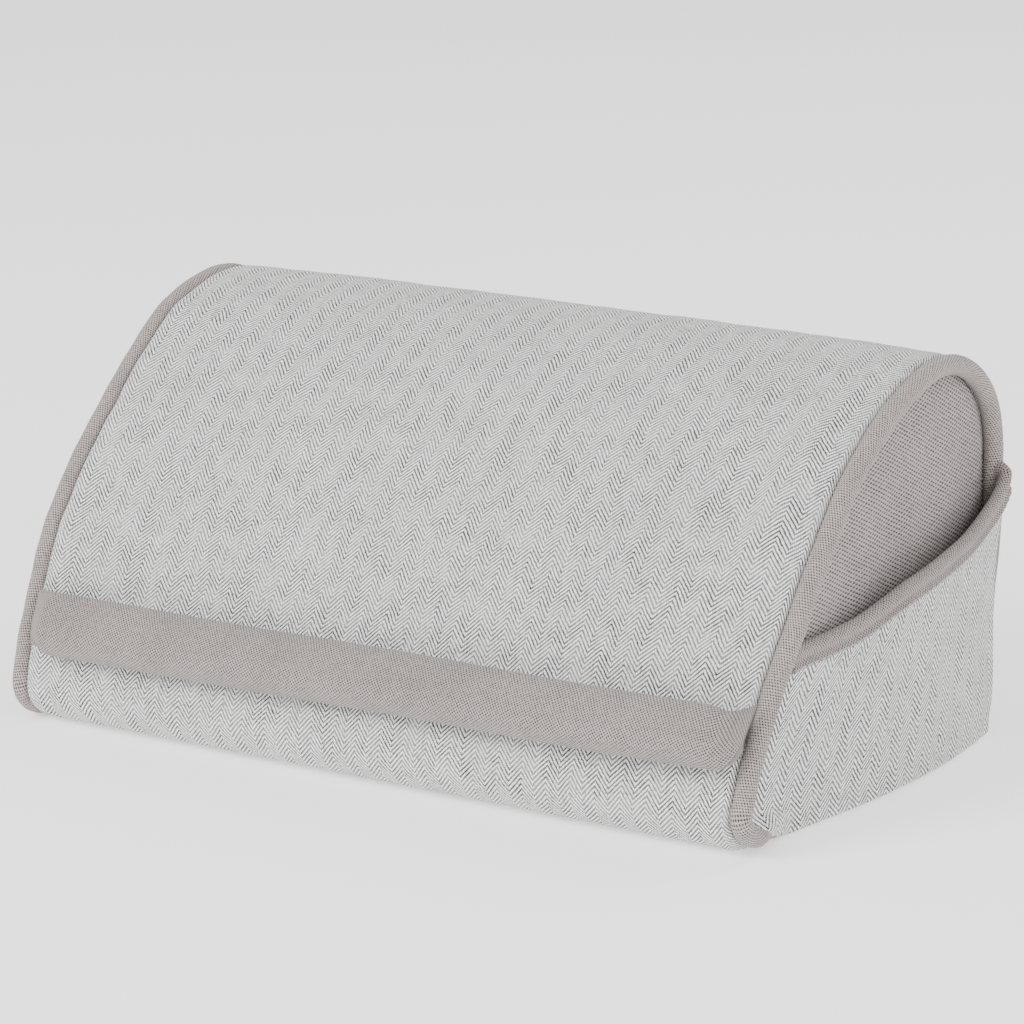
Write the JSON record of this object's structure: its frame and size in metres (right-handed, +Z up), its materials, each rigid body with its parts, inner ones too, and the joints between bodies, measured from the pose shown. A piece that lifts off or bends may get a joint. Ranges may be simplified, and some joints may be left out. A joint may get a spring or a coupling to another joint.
{
  "type": "tablet stand",
  "caption": "Soft foam wedge stand that props a tablet behind a padded front ledge, with a phone pocket on its right side and a zipped cover.",
  "frame": {"origin": "middle of the flat base, on the surface the stand rests on", "axes": "+X to the right as seen by the person using the tablet, towards the phone pocket; +Y to the back, away from the ledge; +Z up"},
  "size_m": [0.306, 0.1904, 0.141],
  "materials": {
    "foam": "open-cell foam, matt",
    "herringbone": "light grey herringbone weave with darker yarns",
    "trim_canvas": "taupe canvas, fine weave",
    "pocket_canvas": "taupe canvas, coarse weave",
    "base_canvas": "taupe canvas, plain weave",
    "cotton_cord": "twisted cotton, matt",
    "zip_tape": "woven polyester tape",
    "zip_nylon": "nylon coil",
    "zip_metal": "satin gunmetal"
  },
  "bodies": {
    "cushion": {"foam_core": "foam", "front_panel": "herringbone", "back_panel": "herringbone", "base_panel": "base_canvas", "left_side_panel": "herringbone", "right_side_panel": "pocket_canvas", "left_piping_cover": "trim_canvas", "left_piping_cord": "cotton_cord", "right_piping_cover": "trim_canvas", "right_piping_cord": "cotton_cord", "ledge_cover": "trim_canvas", "ledge_end_left": "trim_canvas", "ledge_end_right": "trim_canvas", "ledge_filler": "foam", "pocket_panel": "herringbone", "pocket_binding": "trim_canvas", "zip_tape_lower": "zip_tape", "zip_tape_upper": "zip_tape", "zip_coil_lower": "zip_nylon", "zip_coil_upper": "zip_nylon", "zip_stop_left": "zip_metal", "zip_stop_right": "zip_metal"},
    "slider": {"zip_slider": "zip_metal"},
    "pull": {"zip_pull": "zip_metal"}
  },
  "joints": [
    {"name": "zip_travel", "type": "slide", "parent": "cushion", "child": "slider", "axis": [-1, 0, 0], "range_m": [0, 0.225]},
    {"name": "pull_flip", "type": "hinge", "parent": "slider", "child": "pull", "pos_m": [0.1125, 0.09135, 0.02], "axis": [0, 0, -1], "range_deg": [0, 180]}
  ]
}
